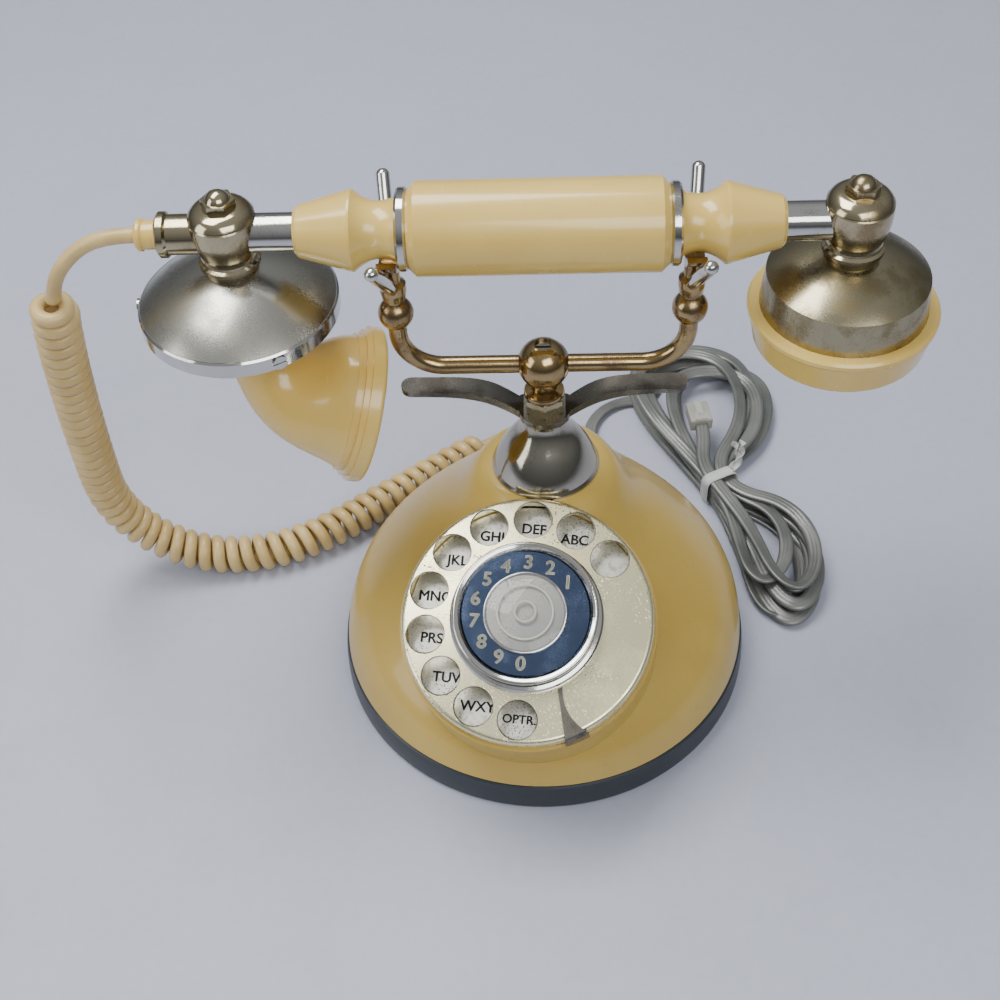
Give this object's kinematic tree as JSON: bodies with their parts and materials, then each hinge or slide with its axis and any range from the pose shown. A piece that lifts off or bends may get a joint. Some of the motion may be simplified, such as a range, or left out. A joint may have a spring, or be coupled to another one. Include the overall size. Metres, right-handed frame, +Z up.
{
  "type": "cradle telephone with rotary dial",
  "caption": "Cream bell-based rotary dial telephone with a brass cradle, horn-mouthpiece handset, curly cord and tied flat line cord",
  "frame": {"origin": "on the table, at the middle of the round base's underside", "axes": "+Z up; +X along the handset, towards the receiver; -Y towards the user, the dial side"},
  "size_m": [0.3145, 0.2422, 0.2064],
  "materials": {
    "slate": "Slate-grey painted band, satin",
    "cream": "Aged cream lacquer, glossy",
    "horn_cream": "Aged cream moulding, glossy, slightly orange",
    "chrome": "Bright nickel-chrome plate",
    "nickel": "Tarnished satin nickel",
    "brass": "Lacquered brass, warm and worn",
    "dial_metal": "Speckled pale-gold nickel",
    "dark_metal": "Dark blued steel",
    "steel": "Plain zinc-plated steel",
    "black": "Black phenolic",
    "clear": "Clear glass",
    "felt": "Black felt",
    "grey_cord": "Silver-grey ribbed flat cord",
    "cream_cord": "Cream vinyl",
    "paper": "White paper-covered wire tie",
    "brown_board": "Brown paper laminate"
  },
  "bodies": {
    "telephone": {"base_felt": "felt", "base_pan": "slate", "base_screws": "steel", "base_shell": "cream", "coil_tail": "cream_cord", "cord_glands": "black", "cord_tie": "paper", "curly_cord": "cream_cord", "dial_frame": "steel", "finger_stop": "dark_metal", "gongs": "steel", "hex_nut": "brass", "letter_plate": "dial_metal", "line_hank": "grey_cord", "line_lead": "grey_cord", "modular_plug": "clear", "network_board": "brown_board", "pedestal": "chrome", "post_bush": "brass", "ringer_coils": "brown_board", "ringer_frame": "steel", "spring_seat": "steel", "switch_block": "black", "switch_leaves": "nickel", "wing_plate": "chrome"},
    "dial": {"finger_wheel": "dial_metal", "dial_bezel": "chrome", "number_disc": "black", "centre_lens": "clear", "dial_shaft": "steel", "main_gear": "brass"},
    "governor": {"governor_rotor": "steel"},
    "cradle": {"plunger_rod": "steel", "cradle_ball": "brass", "ball_screw": "dark_metal", "cradle_bar": "brass", "yokes": "brass", "prongs": "chrome", "return_spring": "steel"},
    "handset": {"grip": "horn_cream", "grip_rings": "chrome", "grip_cones": "horn_cream", "handset_tube": "chrome", "hubs": "chrome", "hub_caps": "brass", "acorn_bolts": "chrome", "transmitter_bell": "nickel", "transmitter_band": "chrome", "band_screws": "nickel", "capsules": "nickel", "horn": "horn_cream", "horn_mouth": "horn_cream", "horn_grille": "horn_cream", "receiver_bell": "nickel", "receiver_skirt": "brass", "receiver_cup": "horn_cream", "cord_ferrule": "nickel", "cord_grommet": "horn_cream", "coil_lead": "cream_cord"},
    "clapper": {"clapper": "brass"}
  },
  "joints": [
    {"name": "dial_turn", "type": "hinge", "parent": "telephone", "child": "dial", "pos_m": [-0.00503, -0.04281, 0.0686], "axis": [0.0456, 0.3881, -0.9205], "range_deg": [0, 317]},
    {"name": "governor_spin", "type": "hinge", "parent": "telephone", "child": "governor", "pos_m": [-0.02986, -0.048, 0.06518], "axis": [0.0456, 0.3881, -0.9205], "range_deg": [-952, 0]},
    {"name": "cradle_plunge", "type": "slide", "parent": "telephone", "child": "cradle", "axis": [0, 0, 1], "range_m": [0, 0.0045], "stiffness_N_per_m": 60, "springref_m": 0.07, "deforming": ["return_spring"]},
    {"name": "handset_lift", "type": "slide", "parent": "cradle", "child": "handset", "axis": [0, 0, 1], "range_m": [0, 0.08]},
    {"name": "clapper_swing", "type": "hinge", "parent": "telephone", "child": "clapper", "pos_m": [0, 0.02, 0.024], "axis": [0, 0, 1], "range_deg": [-3.2, 3.2]}
  ],
  "couplings": [
    {"joint": "governor_spin", "follows": "dial_turn", "ratio": -3}
  ]
}
